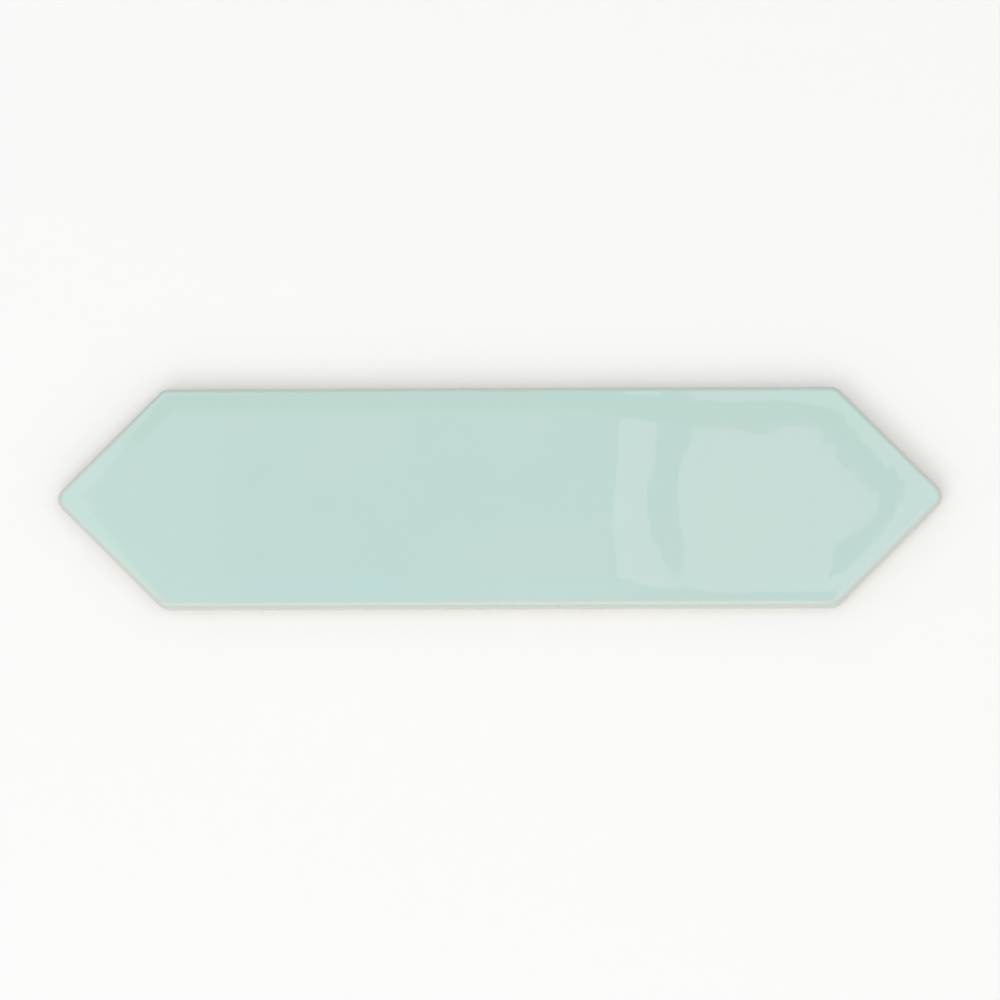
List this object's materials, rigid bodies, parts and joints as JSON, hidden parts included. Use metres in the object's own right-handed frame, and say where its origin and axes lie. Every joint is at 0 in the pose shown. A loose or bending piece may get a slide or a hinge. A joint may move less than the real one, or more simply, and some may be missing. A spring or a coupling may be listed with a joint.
{
  "type": "picket wall tile",
  "caption": "Glazed ceramic wall tile in an elongated hexagon with two right-angled points, rounded face edges, a softly uneven glossy face and a grooved back.",
  "frame": {"origin": "centre of the back, on the bonding plane that the tile lies on", "axes": "+X along the tile's length towards one of its points, +Y across its width, +Z out of the glazed face"},
  "size_m": [0.3, 0.075, 0.0091],
  "materials": {
    "glazed_ceramic": "glossy pale sea-green glaze on the face and rolled edges, thinning to a cream line at the rim; unglazed off-white body on the sides and back"
  },
  "bodies": {
    "root": {"picket_tile": "glazed_ceramic"}
  },
  "joints": []
}
